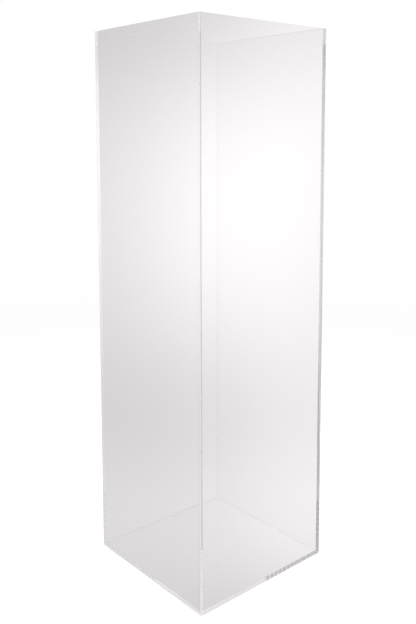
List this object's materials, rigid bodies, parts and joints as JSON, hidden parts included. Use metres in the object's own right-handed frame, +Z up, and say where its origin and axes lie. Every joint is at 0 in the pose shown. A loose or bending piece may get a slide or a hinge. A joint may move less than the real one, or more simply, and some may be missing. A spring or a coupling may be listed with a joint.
{
  "type": "display plinth",
  "caption": "Tall clear acrylic display plinth: a square column of five cemented cast sheets, closed at the base and open at the top.",
  "frame": {"origin": "middle of the underside, on the floor", "axes": "+Z up; the front wall faces -Y and the right wall faces +X; all four sides are alike"},
  "size_m": [0.3, 0.3, 1],
  "materials": {
    "clear_acrylic": "clear cast acrylic sheet, polished faces, machined edges with scraped arrises",
    "acrylic_cement": "cured clear acrylic cement, faintly hazy"
  },
  "bodies": {
    "root": {"front_wall": "clear_acrylic", "right_wall": "clear_acrylic", "back_wall": "clear_acrylic", "left_wall": "clear_acrylic", "base_panel": "clear_acrylic", "front_right_seam": "acrylic_cement", "back_right_seam": "acrylic_cement", "back_left_seam": "acrylic_cement", "front_left_seam": "acrylic_cement", "base_seam": "acrylic_cement"}
  },
  "joints": []
}
